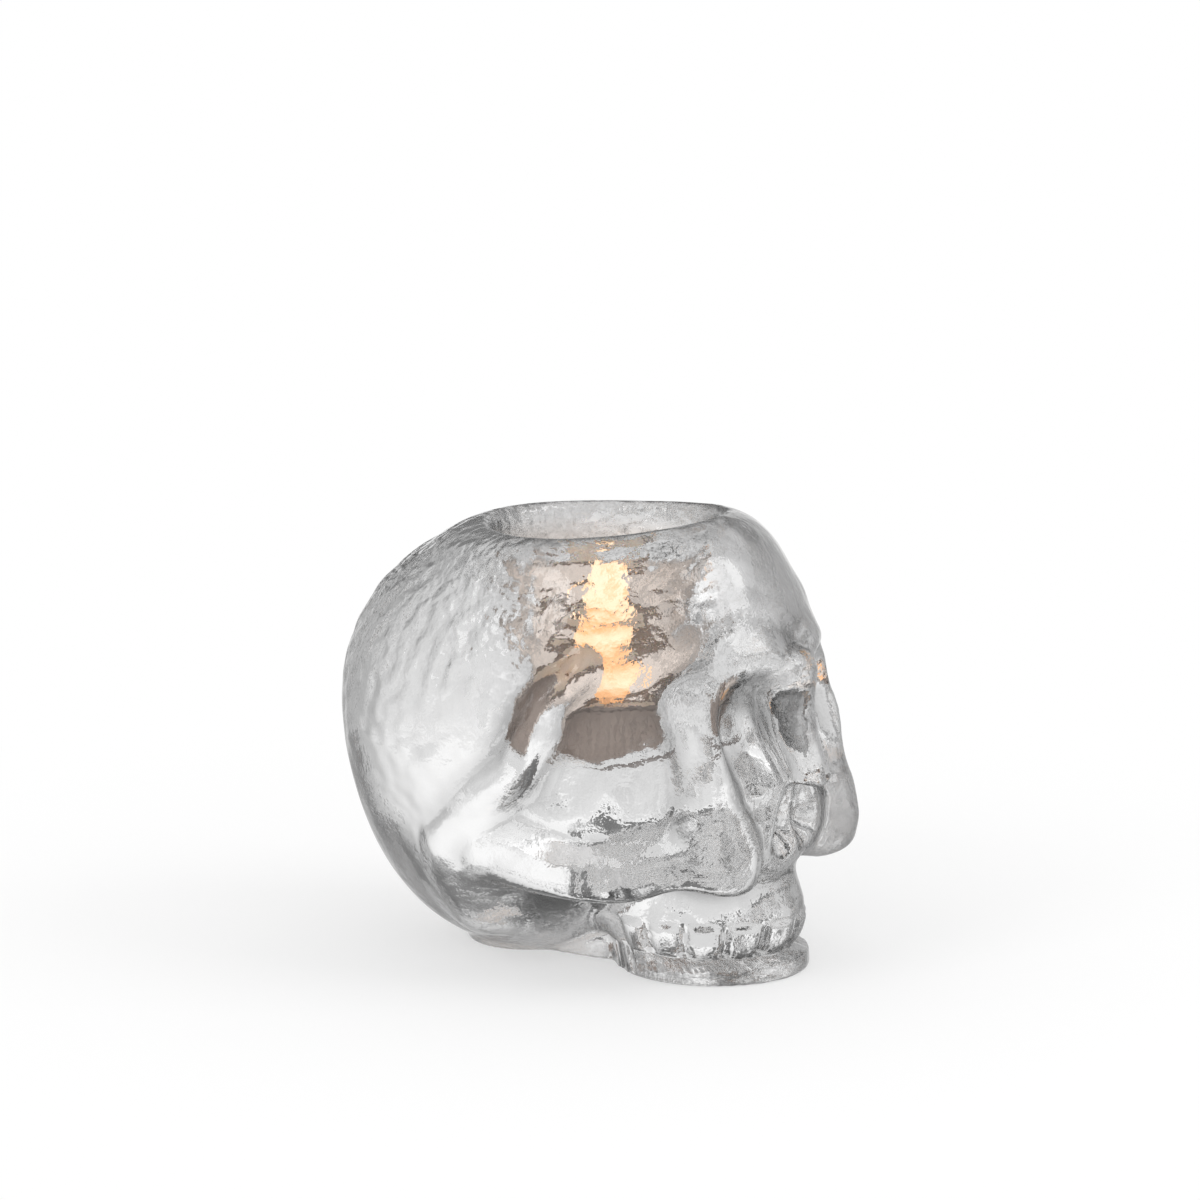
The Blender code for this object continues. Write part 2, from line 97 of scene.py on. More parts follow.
MASTOID = (
    ((0.0310, 0.0160, 0.0260), (0.0260, 0.0140, 0.0140)),
    (0.0070, 0.0060), 0.0080)
TEMPORAL_LINE = (
    ((0.0376, -0.0160, 0.0680), (0.0400, -0.0090, 0.0610), (0.0406, -0.0050, 0.0520),
     (0.0404, -0.0010, 0.0455), (0.0392, 0.0065, 0.0395), (0.0370, 0.0165, 0.0290)),
    (0.0006, 0.0020, 0.0026, 0.0026, 0.0026, 0.0022), 0.0050)
TEETH_FOOT, TEETH_TOP = 0.0050, 0.0118
TEETH_SIDES = 14.4
TEETH_RELIEF = 0.0013
TEETH_LINE_DEPTH = 0.0007
TEETH_BACK = -0.0080
TEETH_ARCH_CENTRE = -0.0240
FRONT_PLINTH = ((0.0, -0.0255), (0.0200, 0.0205), 0.0045)
NECK_BRIDGE = ((0.0, 0.0), (0.0105, 0.0220), 0.0050)
BACK_FOOT = ((0.0, 0.0185), (0.0140, 0.0130), 0.0048)
PAD_BLEND = 0.0022
MIDLINE_SOFTNESS = 0.0008
REACH = 0.0850
print("bone forms: 8 swellings, 5 hollows, 6 ridges")

# %% [markdown]
# ## The well and the rim
#
# The candle well is pressed by a plunger: a drafted cylinder with a filleted floor. Its lip rolls over in a
# soft bead, rises towards the forehead and dips a little at the temples.

# %% Well and rim
RIM_HEIGHT = 0.0946
RIM_SLOPE = 0.080
RIM_SAG = 0.0015
RIM_SOFTNESS = 0.0050
WELL_CENTRE_Y = 0.0
WELL_FLOOR_HEIGHT = 0.0430
WELL_FLOOR_RADIUS = 0.0210
WELL_LIP_RADIUS = 0.0240


def rim_height(x, y):
    """Height of the lip: level, plus a slope along y, less a square of x for the dip at the temples."""
    return RIM_HEIGHT - RIM_SLOPE * (y - WELL_CENTRE_Y) - RIM_SAG * (x / WELL_LIP_RADIUS) ** 2


lip_back, lip_front = rim_height(0, WELL_LIP_RADIUS), rim_height(0, -WELL_LIP_RADIUS)
print(f"lip from {lip_back * 1000:.1f} to {lip_front * 1000:.1f} mm above the ground")


# %% [markdown]
# ## Distance fields
#
# Each form answers one question: how far is a point from it, negative inside? Fields are easy to combine.
# A smooth minimum joins two forms with a fillet, and the same with the signs turned carves one out of the
# other.

# %% Fields of single forms
def turn_pair(points, first, second, degrees):
    """The points turned by -degrees in the plane of two axes: a plane rotation."""
    angle = math.radians(-degrees)
    out = points.copy()
    out[..., first] = points[..., first] * math.cos(angle) - points[..., second] * math.sin(angle)
    out[..., second] = points[..., first] * math.sin(angle) + points[..., second] * math.cos(angle)
    return out


def scaled_distance(local, radii):
    """k0 (k0 - 1) / k1: k0 is the point's length in units of the radii, k1 the slope of k0."""
    scaled = np.sqrt(((local / radii) ** 2).sum(-1))
    slope = np.sqrt(((local / radii ** 2) ** 2).sum(-1)) + 1e-9
    return scaled * (scaled - 1.0) / slope


def ovoid(points, form, yaw=0.0, roll=0.0):
    """Distance to an ellipsoid that is turned about the upright (yaw) and the fore-and-aft line (roll)."""
    local = turn_pair(points - np.array(form[0]), 0, 1, yaw)
    return scaled_distance(turn_pair(local, 2, 0, roll), np.array(form[1]))


def strand(points, form, pieces=4):
    """Distance to a round strand: to the nearest piece of a Catmull-Rom curve, less the radius there."""
    rows = np.column_stack([np.array(form[0]), np.array(form[1])])
    padded = np.vstack([2 * rows[0] - rows[1], rows, 2 * rows[-1] - rows[-2]])
    path = []
    for before, start, end, after in zip(padded, padded[1:], padded[2:], padded[3:]):
        for t in np.arange(pieces) / pieces:
            path.append(0.5 * (2 * start + (end - before) * t
                               + (2 * before - 5 * start + 4 * end - after) * t ** 2
                               + (3 * start - before - 3 * end + after) * t ** 3))
    path.append(rows[-1])
    nearest = None
    for start, end in zip(path[:-1], path[1:]):
        along = end[:3] - start[:3]
        share = np.clip(((points - start[:3]) @ along) / (along @ along), 0.0, 1.0)
        gap = points - start[:3] - share[..., None] * along
        distance = np.sqrt((gap ** 2).sum(-1)) - (start[3] + (end[3] - start[3]) * share)
        nearest = distance if nearest is None else np.minimum(nearest, distance)
    return nearest


def melt(first, second, width):
    """Smooth minimum: the smaller value, lowered where the two are close, which fills the corner."""
    share = np.clip(0.5 + 0.5 * (second - first) / width, 0.0, 1.0)
    return second * (1.0 - share) + first * share - width * share * (1.0 - share)


def carve(body, tool, width):
    """Smooth maximum of the body and the tool inside out: a smooth minimum with the signs turned."""
    return -melt(-body, tool, width)


def window(values, low, high, soft):
    """1 between low and high, easing to 0 over the soft width at each end by t * t * (3 - 2 t)."""
    rise = np.clip((values - low) / soft + 0.5, 0.0, 1.0)
    fall = np.clip((high - values) / soft + 0.5, 0.0, 1.0)
    return rise * rise * (3 - 2 * rise) * fall * fall * (3 - 2 * fall)


print("fields ready:", [f.__name__ for f in (ovoid, strand, melt, carve, window)])


# %% [markdown]
# ## Teeth, pads and the whole skull
#
# Single teeth would be fourteen tiny pieces. Pressed glass shows them as one row of soft swellings, so they
# are a relief on the tooth ridge: the square root of a rectified sine of the angle round the arch.

# %% Skull field
def teeth_relief(points):
    """Swell of the crowns, |sin(n * angle / 2)| ** 0.5, less a groove under the row, windowed in height."""
    turn = np.arctan2(points[..., 0], TEETH_ARCH_CENTRE - points[..., 1])
    crowns = np.sqrt(np.abs(np.sin(turn * TEETH_SIDES / 2))) - 0.5
    row = window(-points[..., 1], -TEETH_BACK, REACH, TEETH_TOP / 2)
    height = TEETH_TOP - TEETH_FOOT
    swell = TEETH_RELIEF * crowns * window(points[..., 2], TEETH_FOOT, TEETH_TOP, height / 3)
    groove = TEETH_LINE_DEPTH * window(points[..., 2], TEETH_FOOT - height / 6, TEETH_FOOT, height / 6)
    return (swell - groove) * row


def pad(points, form):
    """Distance to an upright pad of oval outline with a softened top, which has no end below."""
    side = scaled_distance(points[..., :2] - np.array(form[0]), np.array(form[1]))
    return -melt(-side, form[2] - points[..., 2], PAD_BLEND)


def skull_field(points):
    """All forms melted and carved in turn, mirrored by the soft absolute value of x, cut off at the rim."""
    p = points.copy()
    p[..., 0] = np.sqrt(p[..., 0] ** 2 + MIDLINE_SOFTNESS ** 2)
    body = ovoid(p, BRAINCASE)
    for form in (OCCIPUT, CROWN, TEMPLE):
        body = melt(body, ovoid(p, form), form[2])
    body = melt(body, strand(p, CHEEK_ARCH), CHEEK_ARCH[2])
    body = melt(body, ovoid(p, CHEEKBONE, yaw=CHEEKBONE_YAW), CHEEKBONE[2])
    body = melt(body, strand(p, SOCKET_RIM), SOCKET_RIM[2])
    body = melt(body, strand(p, BROW), BROW[2])
    body = melt(body, ovoid(p, MAXILLA), MAXILLA[2])
    body = carve(body, ovoid(p, EYE_SOCKET, yaw=SOCKET_YAW, roll=SOCKET_ROLL), EYE_SOCKET[2])
    body = melt(body, strand(p, NASAL_BONE), NASAL_BONE[2])
    body = melt(body, ovoid(p, TOOTH_RIDGE), TOOTH_RIDGE[2])
    body = carve(body, ovoid(p, NOSTRIL, roll=NOSTRIL_ROLL), NOSTRIL[2])
    body = carve(body, ovoid(p, CHEEK_HOLLOW, yaw=CHEEK_HOLLOW_YAW), CHEEK_HOLLOW[2])
    body = carve(body, ovoid(p, TEMPLE_HOLLOW), TEMPLE_HOLLOW[2])
    body = carve(body, ovoid(p, BONE_DIMPLE), BONE_DIMPLE[2])
    body = melt(body, strand(p, MASTOID), MASTOID[2])
    body = melt(body, strand(p, TEMPORAL_LINE), TEMPORAL_LINE[2])
    body = body - teeth_relief(p)
    for form in (FRONT_PLINTH, NECK_BRIDGE, BACK_FOOT):
        body = melt(body, pad(p, form), PAD_BLEND)
    body = melt(body, ovoid(p, RIM_LIP), RIM_LIP[2])
    return -melt(-body, rim_height(p[..., 0], p[..., 1]) - p[..., 2], RIM_SOFTNESS)


print("field at the middle of the skull:", float(skull_field(np.array([[0.0, 0.0, 0.03]]))[0]))

# %% [markdown]
# ## One closed surface for the glass
#
# The glass could be a sculpt with a boolean cut for the well, but that leaves ragged triangles at the lip.
# Instead one surface runs from the middle of the underside, out over the face and the cranium, over the lip
# and down into the well. It is a function of two parameters, the angle round the skull and the place along
# that line. Each pair gives a ray from a core path that stays inside the glass, and the surface is where the
# ray leaves the field.

# %% The whole glass as a field
LIP_SOFTNESS = 0.0032
FILLET_SOFTNESS = 0.0060
GROUND_SOFTNESS = 0.0008
SLANT_POWER = 3
HAMMER_DEPTH = 0.00016
HAMMER_WAVES = 14
HAMMER_COARSE, HAMMER_FINE = 850.0, 1550.0    # radians per metre
HAMMER_FRONT, HAMMER_FRONT_FADE = -0.020, 0.030
HAMMER_FOOT, HAMMER_FOOT_FADE = 0.040, 0.025
HAMMER_LIP, HAMMER_LIP_FADE = 0.003, 0.006
hammer_dice = np.random.default_rng(7)
hammer_waves = hammer_dice.normal(size=(3, HAMMER_WAVES))
hammer_waves *= (hammer_dice.uniform(HAMMER_COARSE, HAMMER_FINE, HAMMER_WAVES)
                 / np.linalg.norm(hammer_waves, axis=0))
hammer_starts = hammer_dice.uniform(0.0, 2 * math.pi, HAMMER_WAVES)


def well_field(points):
    """Distance to the plunger: the larger of radius less the drafted wall and floor less height, smoothed.
    The height is counted along the slant of the lip, which fades with the third power of the depth."""
    rise = np.clip((points[..., 2] - WELL_FLOOR_HEIGHT) / (RIM_HEIGHT - WELL_FLOOR_HEIGHT), 0.0, 1.0)
    slant = rim_height(points[..., 0], points[..., 1]) - RIM_HEIGHT
    height = points[..., 2] - slant * rise ** SLANT_POWER
    radius = np.hypot(points[..., 0], points[..., 1] - WELL_CENTRE_Y)
    share = (height - WELL_FLOOR_HEIGHT) / (RIM_HEIGHT - WELL_FLOOR_HEIGHT)
    wall = radius - (WELL_FLOOR_RADIUS + (WELL_LIP_RADIUS - WELL_FLOOR_RADIUS) * share)
    return -melt(-wall, height - WELL_FLOOR_HEIGHT, FILLET_SOFTNESS)


def hammered(points):
    """Hammering of the cranium: 1 + w / 2, where w is a sum of sine waves in random directions, scaled to a
    spread of one and held within -2..2. It goes inwards only, and fades in above and behind the ear."""
    waves = np.sin(points @ hammer_waves + hammer_starts).sum(-1) / math.sqrt(HAMMER_WAVES / 2)
    back = np.clip((points[..., 1] - HAMMER_FRONT) / HAMMER_FRONT_FADE, 0.0, 1.0)
    high = np.clip((points[..., 2] - HAMMER_FOOT) / HAMMER_FOOT_FADE, 0.0, 1.0)
    below_lip = rim_height(points[..., 0], points[..., 1]) - HAMMER_LIP - points[..., 2]
    lip = np.clip(below_lip / HAMMER_LIP_FADE, 0.0, 1.0)
    return HAMMER_DEPTH * (1.0 + np.clip(waves / 2, -1.0, 1.0)) * back * high * lip


def glass_field(points):
    """Skull, less the well, less all below the ground, each taken off by a smooth maximum."""
    body = skull_field(points) + hammered(points)
    body = carve(body, well_field(points), LIP_SOFTNESS)
    return -melt(-body, points[..., 2], GROUND_SOFTNESS)


print("hammering:", HAMMER_WAVES, "waves, up to", 2 * HAMMER_DEPTH * 1000, "mm deep")

# %% [markdown]
# ## Rays from the core
#
# The core path lies well inside the glass, like the wire in a wire-frame figure. Rays fan out from it, and no
# two of them cross, so the points where they leave the glass make an orderly grid. The rows crowd where the
# relief is fine, on the face and low on the cheeks, and are wide apart where the skull is plain.

# %% Rays from the core of the glass
AROUND = 384
ROWS = 255
AXIS_Y = 0.0010
FACE_CROWD = [(0.0, 0.75, 1.3)]    # each: place, width and strength of a bell curve
LINE_CROWD = [(0.20, 0.05, 1.0), (0.38, 0.10, 0.6)]
CORE_PATH = np.array([    # place along the line, radius, height, aim in degrees above the outward line
    (0.000, 0.000, 0.014, -90.0),
    (0.060, 0.004, 0.013, -62.0),
    (0.120, 0.008, 0.013, -38.0),
    (0.190, 0.011, 0.015, -19.0),
    (0.280, 0.015, 0.023, -8.0),
    (0.360, 0.022, 0.033, -2.0),
    (0.420, 0.028, 0.040, 0.0),
    (0.540, 0.030, 0.056, 8.0),
    (0.610, 0.030, 0.068, 25.0),
    (0.670, 0.030, 0.077, 52.0),
    (0.720, 0.030, 0.084, 80.0),
    (0.800, 0.030, 0.085, 180.0),
    (0.925, 0.028, 0.047, 180.0),
    (0.960, 0.026, 0.038, 140.0),
    (1.000, 0.000, 0.034, 90.0)])


def crowded(even, low, high, peaks):
    """Even shares 0..1 moved to low..high so that lines crowd where bell curves raise the density."""
    samples = np.linspace(low, high, 1441)
    density = np.ones_like(samples)
    for place, width, strength in peaks:
        density += strength * np.exp(-((samples - place) / width) ** 2)
    total = np.concatenate([[0.0], np.cumsum((density[1:] + density[:-1]) / 2)])
    return np.interp(even, total / total[-1], samples)


def leave_points(origins, directions, reach=0.060, marches=90, halvings=18):
    """Where each ray first leaves the field: a march outwards in equal steps, then bisection."""
    steps = np.linspace(0.0, reach, marches)
    inner, outer = np.zeros(len(directions)), np.full(len(directions), reach)
    seek = np.arange(len(directions))
    for before, step in zip(steps[:-1], steps[1:]):
        out = glass_field(origins[seek] + directions[seek] * step) > 0
        inner[seek[out]], outer[seek[out]] = before, step
        seek = seek[~out]
        if not len(seek):
            break
    for _ in range(halvings):
        middle = (inner + outer) / 2
        inside = glass_field(origins + directions * middle[:, None]) <= 0
        inner, outer = np.where(inside, middle, inner), np.where(inside, outer, middle)
    return origins + directions * ((inner + outer) / 2)[:, None]


def glass_grid():
    """Rows of points: the core path gives each row its radius, height and aim, and the angle turns them."""
    turn = crowded(np.arange(AROUND) / AROUND, -math.pi, math.pi, FACE_CROWD)
    place = crowded((np.arange(ROWS) + 0.5) / ROWS, 0.0, 1.0, LINE_CROWD)
    turn, place = np.meshgrid(turn, place)
    radius, height, aim = (np.interp(place, CORE_PATH[:, 0], CORE_PATH[:, i]) for i in (1, 2, 3))
    aim = np.radians(aim)
    out = np.stack([np.sin(turn), -np.cos(turn), 0 * turn], -1)
    origin = out * radius[..., None] + np.array([0.0, AXIS_Y, 0.0])
    origin[..., 2] = height
    direction = out * np.cos(aim)[..., None]
    direction[..., 2] = np.sin(aim)
    points = leave_points(origin.reshape(-1, 3), direction.reshape(-1, 3)).reshape(ROWS, AROUND, 3)
    return points, place


grid, grid_place = glass_grid()
print("grid as pressed:", grid.shape[:2])

# %% [markdown]
# ## Crisper relief
#
# The melts between the forms leave the relief soft, and clear glass shows only slopes. The real skull has
# deeper hollows beside its ridges. Carving each by hand would take many more forms. An unsharp mask does it
# for all of them at once: the height of each point over its softened surroundings, taken along the normal,
# is added again. The result is held inside the box of the CAD glass.

# %% Crisp relief
CRISP_RIDGES, CRISP_HOLLOWS = 0.8, 2.0
CRISP_LIMIT = 0.0012
NEAR_PASSES, FAR_PASSES = 24, 120
NORMAL_PASSES, GAIN_PASSES, HOLLOW_PASSES = 6, 4, 2
STRETCHED = 0.0030
HOLLOW_DEPTH = 0.0012
GROUND_EASE = (0.12, 0.32)
LIP_EASE = (0.60, 0.66)
SQUARE_MILLIMETRE = 1e-6


def softened(values, passes):
    """Each value becomes (before + 2 * itself + after) / 4 along both ways of the grid, again and again."""
    for _ in range(passes):
        values = (np.roll(values, 1, 1) + 2 * values + np.roll(values, -1, 1)) / 4
        padded = np.concatenate([values[:1], values, values[-1:]])
        values = (padded[:-2] + 2 * padded[1:-1] + padded[2:]) / 4
    return values


def ease(values, low, high):
    """0 below low, 1 above high, and t * t * (3 - 2 t) between them."""
    t = np.clip((values - low) / (high - low), 0.0, 1.0)
    return t * t * (3 - 2 * t)


def crisp_relief(points, place):
    """p + n * gain * h: n is the softened normal, h the height over the near surroundings less its own far
    average. The gain is larger in hollows, and it fades out at the ground, the lip and stretched rows. The
    second result says how deep each point lies in a hollow, from 0 to 1."""
    across = np.roll(points, -1, 1) - np.roll(points, 1, 1)
    along = np.gradient(points, axis=0)
    normal = softened(np.cross(across, along) / SQUARE_MILLIMETRE, NORMAL_PASSES)
    normal /= np.linalg.norm(normal, axis=-1, keepdims=True) + 1e-12
    height = ((points - softened(points, NEAR_PASSES)) * normal).sum(-1)
    height = np.clip(height - softened(height, FAR_PASSES), -CRISP_LIMIT, CRISP_LIMIT)
    even = 1.0 - ease(np.linalg.norm(along, axis=-1), STRETCHED / 2, STRETCHED)
    gain = np.where(height > 0, CRISP_RIDGES, CRISP_HOLLOWS) * softened(even, GAIN_PASSES)
    gain = gain * ease(place, *GROUND_EASE) * (1.0 - ease(place, *LIP_EASE))
    box_low, box_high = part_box("glass_skull")
    moved = np.clip(points + normal * (gain * height)[..., None], list(box_low), list(box_high))
    return moved, softened(np.clip(-gain * height / HOLLOW_DEPTH, 0.0, 1.0), HOLLOW_PASSES)


grid, grid_hollow = crisp_relief(grid, grid_place)
print("glass grid:", grid.shape[:2], "mm from", (grid.reshape(-1, 3).min(0) * 1000).round(1),
      "to", (grid.reshape(-1, 3).max(0) * 1000).round(1))


# %% [markdown]
# ## From grid to mesh
#
# A grid that closes round the skull becomes faces by joining each point to its neighbours above and beside
# it, with one point at each end as a pole. Two attributes go with it for the material: how far inside the well
# a point is, for ripples and a painted candle glow, and how deep it lies in a hollow of the relief, for
# painted shade.

# %% Grid to mesh
WELL_FROM, WELL_FADE = 0.775, 0.03


def new_piece(name, corners, faces):
    """A mesh object at the origin, shaded smooth, from lists of points and of faces."""
    mesh = bpy.data.meshes.new(name)
    mesh.from_pydata(corners, [], faces)
    mesh.shade_smooth()
    mesh.validate()
    piece = bpy.data.objects.new(name, mesh)
    bpy.context.scene.collection.objects.link(piece)
    return piece


def closed_mesh(name, points, first_pole, last_pole):
    """Quads (row, next row) x (column, next column, wrapping round), with a fan of triangles at each pole."""
    rows, columns = points.shape[:2]
    corners = np.vstack([points.reshape(-1, 3), first_pole, last_pole])
    index = np.arange(rows * columns).reshape(rows, columns)
    here, beside = index, np.roll(index, -1, axis=1)
    quads = np.stack([here[:-1], beside[:-1], beside[1:], here[1:]], -1).reshape(-1, 4)
    low, high = rows * columns, rows * columns + 1
    fans = np.vstack([np.stack([beside[0], here[0], np.full(columns, low)], -1),
                      np.stack([here[-1], beside[-1], np.full(columns, high)], -1)])
    return new_piece(name, corners.tolist(), quads.tolist() + fans.tolist())


def paint_attribute(piece, name, values):
    """One number per point, in the order of the grid and its two poles."""
    layer = piece.data.attributes.new(name, "FLOAT", "POINT")
    layer.data.foreach_set("value", values.astype(np.float32))


skull = closed_mesh("skull_glass", grid, [[0.0, AXIS_Y, 0.0]], [[0.0, AXIS_Y, WELL_FLOOR_HEIGHT]])
well_share = np.clip((grid_place - WELL_FROM) / WELL_FADE, 0.0, 1.0).reshape(-1)
paint_attribute(skull, "inside_well", np.append(well_share, [0.0, 1.0]))
paint_attribute(skull, "hollow", np.append(grid_hollow.reshape(-1), [0.0, 0.0]))
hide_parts("glass_skull")
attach(skull, "root")
print("glass:", len(skull.data.polygons), "faces")


# %% [markdown]
# ## Materials
#
# Every finish is made of shader nodes. Setting each node by hand takes many lines, so short helpers do what
# repeats: one starts a finish with the plain numbers on the shader's own sockets, one adds a node with its
# links, and the others add the nodes that most finishes share, which are noise, bumps and colour ramps.

# %% Material helpers
def new_finish(name, **settings):
    """A material with a Principled shader whose sockets are set by name; underscores stand for spaces."""
    material = bpy.data.materials.new(name)
    material.use_nodes = True
    shader = material.node_tree.nodes["Principled BSDF"]
    for socket, value in settings.items():
        shader.inputs[socket.replace("_", " ")].default_value = value
    return material, material.node_tree, shader


def add_node(tree, kind, values=(), links=(), **properties):
    """A node of that kind. values sets sockets, and links joins outputs of other nodes to its sockets."""
    node = tree.nodes.new(kind)
    for key, value in properties.items():
        setattr(node, key, value)
    for socket, value in dict(values).items():
        node.inputs[socket].default_value = value
    for socket, output in dict(links).items():
        tree.links.new(output, node.inputs[socket])
    return node


def place_nodes(tree, scale=(1.0, 1.0, 1.0)):
    """Object coordinates through a Mapping node that scales them."""
    coordinates = add_node(tree, "ShaderNodeTexCoord")
    return add_node(tree, "ShaderNodeMapping", {"Scale": scale}, {"Vector": coordinates.outputs["Object"]})


def noise_value(tree, place, scale, detail, roughness=0.5):
    """Noise at a place, 0..1, with so many waves to the metre."""
    noise = add_node(tree, "ShaderNodeTexNoise", {"Scale": scale, "Detail": detail, "Roughness": roughness},
                     {"Vector": place.outputs[0]})
    return noise.outputs["Fac"]


def raised_normal(tree, height, distance, strength=1.0, below=None):
    """The normal over a bump: height times the distance in metres, on top of the bump below."""
    bump = add_node(tree, "ShaderNodeBump", {"Strength": strength, "Distance": distance}, {"Height": height})
    if below:
        tree.links.new(below, bump.inputs["Normal"])
    return bump.outputs[0]


def map_range(tree, value, inputs=(0.0, 1.0), outputs=(0.0, 1.0), smooth=False):
    """The value moved from one range to another and held within it, straight or with a soft start and end."""
    ends = {"From Min": inputs[0], "From Max": inputs[1], "To Min": outputs[0], "To Max": outputs[1]}
    node = add_node(tree, "ShaderNodeMapRange", ends, {"Value": value},
                    interpolation_type="SMOOTHSTEP" if smooth else "LINEAR")
    return node.outputs[0]


def combined(tree, operation, first, second):
    """Two numbers combined by a Math node, held within 0..1."""
    node = add_node(tree, "ShaderNodeMath", links={0: first, 1: second}, operation=operation, use_clamp=True)
    return node.outputs[0]


def tone_between(tree, factor, stops):
    """A colour ramp through stops from 0 to 1, each a position and a grey level or a red, green and blue."""
    ramp = add_node(tree, "ShaderNodeValToRGB", links={"Fac": factor})
    elements = ramp.color_ramp.elements
    for position, _ in stops[1:-1]:
        elements.new(position)
    for element, (_, tone) in zip(elements, stops):
        element.color = (*tone, 1.0) if isinstance(tone, tuple) else (tone, tone, tone, 1.0)
    return ramp.outputs[0]


def tones_multiplied(tree, first, second):
    """Two colours multiplied with each other."""
    node = add_node(tree, "ShaderNodeMix", {"Factor": 1.0}, {"A": first, "B": second},
                    data_type="RGBA", blend_type="MULTIPLY")
    return node.outputs["Result"]


def axis_value(tree, place, axis):
    """One coordinate of a place: X, Y or Z."""
    return add_node(tree, "ShaderNodeSeparateXYZ", links={0: place.outputs[0]}).outputs[axis]


def finish_piece(piece, material):
    """The material becomes the only one of the piece."""
    piece.data.materials.clear()
    piece.data.materials.append(material)


print("material helpers ready")

# %% [markdown]
# ## Clear pressed glass
#
# Soda-lime glass bends light with an index of about 1.5. Its colour carries painted shade: it darkens where
# the skin turns away from the eye, which paints dark bands at its edges, and it is darker again deep in the
# hollows.
# The skin isn't perfect: the mould leaves soft waves and a fine grain, its hammered crown leaves flecks, and
# the plunger leaves ripples on the wall of the well, which break the flame up. All four are bumps made of
# noise, one on top of the other. The wall of the well carries a painted warm glow of the candle.

# %% Bumps of the glass
WAVE_SCALE, WAVE_HEIGHT = 75.0, 0.0016
FLECK_SCALE, FLECK_HEIGHT = 340.0, 0.0010
RIPPLE_SCALE, RIPPLE_HEIGHT = 150.0, 0.0016
RIPPLE_STRETCH = (0.6, 0.6, 1.0)
GRAIN_SCALE, GRAIN_HEIGHT = 1100.0, 0.00007
FLECKS_ABOVE = (0.050, 0.076)
FLECKS_BEHIND = (-0.022, 0.012)
glass, tree, shader = new_finish("clear_pressed_glass", Roughness=0.04, IOR=1.5, Transmission_Weight=1.0)
glass_place = place_nodes(tree)
ripple_place = place_nodes(tree, RIPPLE_STRETCH)
inside = add_node(tree, "ShaderNodeAttribute", attribute_name="inside_well").outputs["Fac"]
mould_waves = noise_value(tree, glass_place, WAVE_SCALE, detail=2.0, roughness=0.45)
high_up = map_range(tree, axis_value(tree, glass_place, "Z"), FLECKS_ABOVE, smooth=True)
behind_brow = map_range(tree, axis_value(tree, glass_place, "Y"), FLECKS_BEHIND, smooth=True)
on_crown = combined(tree, "SUBTRACT", combined(tree, "MULTIPLY", high_up, behind_brow), inside)
flecks = combined(tree, "MULTIPLY", noise_value(tree, glass_place, FLECK_SCALE, detail=1.5), on_crown)
ripples = combined(tree, "MULTIPLY", noise_value(tree, ripple_place, RIPPLE_SCALE, detail=2.0), inside)
grain = noise_value(tree, glass_place, GRAIN_SCALE, detail=1.0)
wavy = raised_normal(tree, mould_waves, WAVE_HEIGHT)
flecked = raised_normal(tree, flecks, FLECK_HEIGHT, below=wavy)
rippled = raised_normal(tree, ripples, RIPPLE_HEIGHT, below=flecked)
grained = raised_normal(tree, grain, GRAIN_HEIGHT, below=rippled)
tree.links.new(grained, shader.inputs["Normal"])
print("bumps of the glass:", len(tree.nodes), "nodes")

# %% Tones of the glass
# Painted shade: the level the glass colour falls to deep in the hollows of the relief.
HOLLOW_PAINTED_SHADE = 0.15
# Painted light: a warm candle glow multiplied into the glass on the wall of the well.
PAINTED_CANDLE_GLOW = (1.0, 0.87, 0.78, 1.0)
# Painted shade: the glass colour darkens as its skin turns away from the eye, which paints dark edge bands.
PAINTED_EDGE_STOPS = ((0.0, 0.99), (0.18, 0.99), (0.38, 0.76), (0.58, 0.28), (0.80, 0.09), (1.0, 0.15))
# Painted shade by facing: the dark edge bands are laid into the glass colour.
turned_away = add_node(tree, "ShaderNodeLayerWeight", {"Blend": 0.5}, {"Normal": rippled})
painted_edge_shade = tone_between(tree, turned_away.outputs["Facing"], PAINTED_EDGE_STOPS)
# Painted shade: the hollow attribute darkens the glass colour in the hollows.
hollow = add_node(tree, "ShaderNodeAttribute", attribute_name="hollow").outputs["Fac"]
painted_hollow_shade = map_range(tree, hollow, outputs=(1.0, HOLLOW_PAINTED_SHADE))
# The painted edge and hollow shade, with the painted candle glow on the wall of the well.
painted_shade_and_glow = add_node(tree, "ShaderNodeMix", {"B": PAINTED_CANDLE_GLOW},
                     {"Factor": inside, "A": tones_multiplied(tree, painted_edge_shade, painted_hollow_shade)},
                     data_type="RGBA", blend_type="MULTIPLY")
tree.links.new(painted_shade_and_glow.outputs["Result"], shader.inputs["Base Color"])
finish_piece(skull, glass)
print("glass finish:", len(tree.nodes), "nodes")


# %% [markdown]
# ## The tealight
#
# A tealight's cup is drawn from thin aluminium, and its side gathers into fine crimps. A turned profile gives
# the cup, and a cosine of the angle, strongest in the middle of the side, gives the crimps. The wax stands
# clear of the cup by a hair, dished, with the pool round the wick. The wick bends over where it glows.

# %% Turned pieces
TEALIGHT_RADIUS = 0.0190
TEALIGHT_HEIGHT = 0.0145
CUP_WALL = 0.0005
CUP_BEAD = 0.0006
CUP_SIDE_TOP = TEALIGHT_HEIGHT - 2.4 * CUP_BEAD
POLE_RADIUS = 0.001
CRIMPS = 64
CRIMP_DEPTH = 0.00016
CUP_STEPS = 384
SIDE_ROWS = 24
cup_low, cup_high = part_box("tealight_cup")
wax_low, wax_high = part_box("tealight_wax")
tealight_axis = ((cup_low.x + cup_high.x) / 2, (cup_low.y + cup_high.y) / 2)
print(f"tealight stands {cup_low.z * 1000:.1f} mm up, {tealight_axis[1] * 1000:.1f} mm behind the middle")


def arc(centre, radius, start, end, count):
    """Points (radius, height) on an arc, angles in degrees above the outward line."""
    angles = np.radians(np.linspace(start, end, count))
    return np.stack([centre[0] + radius * np.cos(angles), centre[1] + radius * np.sin(angles)], -1)


